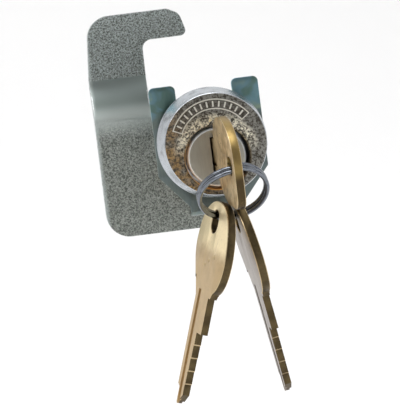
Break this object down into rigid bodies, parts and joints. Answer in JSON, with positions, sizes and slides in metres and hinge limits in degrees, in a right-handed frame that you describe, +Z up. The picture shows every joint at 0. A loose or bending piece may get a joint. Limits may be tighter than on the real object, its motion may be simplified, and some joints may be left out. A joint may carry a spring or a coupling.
{
  "type": "cam lock",
  "caption": "Pin-tumbler cam lock with a cranked hook cam, a slide-on horseshoe mounting clip, and keys on a split ring.",
  "frame": {"origin": "on the back seat of the head, on the upright centre line, 11.7 mm above the barrel's axis", "axes": "+X to the right as seen from the front, +Y into the door along the barrel, +Z up"},
  "size_m": [0.0414, 0.0613, 0.0973],
  "materials": {
    "head_pewter": "antiqued die casting with a bright turned side",
    "plug_nickel": "brushed nickel",
    "steel_zinc": "zinc plated",
    "ring_steel": "nickel plated",
    "spring_steel": "bright drawn",
    "cam_grain": "tumbled grain with rolled bright edges",
    "clip_zinc": "blue-green passivated zinc",
    "key_brass": "worn satin brass",
    "pin_brass": "turned brass"
  },
  "bodies": {
    "lock_body": {"lock_body": "head_pewter", "chamber_cover": "pin_brass", "pin_spring_1": "spring_steel", "pin_spring_2": "spring_steel", "pin_spring_3": "spring_steel", "pin_spring_4": "spring_steel", "pin_spring_5": "spring_steel"},
    "plug": {"plug": "plug_nickel", "stop_washer": "steel_zinc", "hook_cam": "cam_grain", "lock_washer": "steel_zinc", "cam_nut": "steel_zinc"},
    "mounting_clip": {"mounting_clip": "clip_zinc"},
    "inserted_key": {"inserted_key": "key_brass"},
    "key_ring": {"key_ring": "ring_steel"},
    "spare_key_left": {"spare_key_left": "key_brass"},
    "spare_key_right": {"spare_key_right": "key_brass"},
    "key_pin_1": {"key_pin_1": "pin_brass"},
    "driver_pin_1": {"driver_pin_1": "pin_brass"},
    "key_pin_2": {"key_pin_2": "pin_brass"},
    "driver_pin_2": {"driver_pin_2": "pin_brass"},
    "key_pin_3": {"key_pin_3": "pin_brass"},
    "driver_pin_3": {"driver_pin_3": "pin_brass"},
    "key_pin_4": {"key_pin_4": "pin_brass"},
    "driver_pin_4": {"driver_pin_4": "pin_brass"},
    "key_pin_5": {"key_pin_5": "pin_brass"},
    "driver_pin_5": {"driver_pin_5": "pin_brass"}
  },
  "joints": [
    {"name": "plug_turn", "type": "hinge", "parent": "lock_body", "child": "plug", "pos_m": [0, 0, -0.01505], "axis": [0, 1, 0], "range_deg": [0, 90]},
    {"name": "key_slide", "type": "slide", "parent": "plug", "child": "inserted_key", "axis": [0, 1, 0], "range_m": [-0.0274, 0]},
    {"name": "clip_slide", "type": "slide", "parent": "lock_body", "child": "mounting_clip", "axis": [0, 0, -1], "range_m": [0, 0.027]},
    {"name": "ring_swing", "type": "hinge", "parent": "inserted_key", "child": "key_ring", "pos_m": [0.00015, -0.0238, -0.01555], "axis": [1, 0, 0], "range_deg": [-45, 0]},
    {"name": "spare_key_left_swing", "type": "hinge", "parent": "key_ring", "child": "spare_key_left", "pos_m": [-0.00263, -0.01432, -0.02768], "axis": [0.9367, 0.2156, -0.276], "range_deg": [-6, 10]},
    {"name": "spare_key_right_swing", "type": "hinge", "parent": "key_ring", "child": "spare_key_right", "pos_m": [0.0018, -0.01412, -0.02794], "axis": [0.9781, -0.128, 0.1638], "range_deg": [-9, 10]},
    {"name": "key_pin_1_lift", "type": "slide", "parent": "plug", "child": "key_pin_1", "axis": [0, 0, 1], "range_m": [-0.0016, 0]},
    {"name": "driver_pin_1_lift", "type": "slide", "parent": "lock_body", "child": "driver_pin_1", "axis": [0, 0, 1], "range_m": [-0.0016, 0], "deforming": ["pin_spring_1"]},
    {"name": "key_pin_2_lift", "type": "slide", "parent": "plug", "child": "key_pin_2", "axis": [0, 0, 1], "range_m": [-0.00135, 0]},
    {"name": "driver_pin_2_lift", "type": "slide", "parent": "lock_body", "child": "driver_pin_2", "axis": [0, 0, 1], "range_m": [-0.00135, 0], "deforming": ["pin_spring_2"]},
    {"name": "key_pin_3_lift", "type": "slide", "parent": "plug", "child": "key_pin_3", "axis": [0, 0, 1], "range_m": [-0.0011, 0]},
    {"name": "driver_pin_3_lift", "type": "slide", "parent": "lock_body", "child": "driver_pin_3", "axis": [0, 0, 1], "range_m": [-0.0011, 0], "deforming": ["pin_spring_3"]},
    {"name": "key_pin_4_lift", "type": "slide", "parent": "plug", "child": "key_pin_4", "axis": [0, 0, 1], "range_m": [-0.00085, 0]},
    {"name": "driver_pin_4_lift", "type": "slide", "parent": "lock_body", "child": "driver_pin_4", "axis": [0, 0, 1], "range_m": [-0.00085, 0], "deforming": ["pin_spring_4"]},
    {"name": "key_pin_5_lift", "type": "slide", "parent": "plug", "child": "key_pin_5", "axis": [0, 0, 1], "range_m": [-0.0006, 0]},
    {"name": "driver_pin_5_lift", "type": "slide", "parent": "lock_body", "child": "driver_pin_5", "axis": [0, 0, 1], "range_m": [-0.0006, 0], "deforming": ["pin_spring_5"]}
  ],
  "couplings": [
    {"joint": "key_pin_1_lift", "follows": "key_slide", "ratio": 0.05839},
    {"joint": "driver_pin_1_lift", "follows": "key_slide", "ratio": 0.05839},
    {"joint": "key_pin_2_lift", "follows": "key_slide", "ratio": 0.04927},
    {"joint": "driver_pin_2_lift", "follows": "key_slide", "ratio": 0.04927},
    {"joint": "key_pin_3_lift", "follows": "key_slide", "ratio": 0.04014},
    {"joint": "driver_pin_3_lift", "follows": "key_slide", "ratio": 0.04014},
    {"joint": "key_pin_4_lift", "follows": "key_slide", "ratio": 0.03102},
    {"joint": "driver_pin_4_lift", "follows": "key_slide", "ratio": 0.03102},
    {"joint": "key_pin_5_lift", "follows": "key_slide", "ratio": 0.02189},
    {"joint": "driver_pin_5_lift", "follows": "key_slide", "ratio": 0.02189}
  ]
}
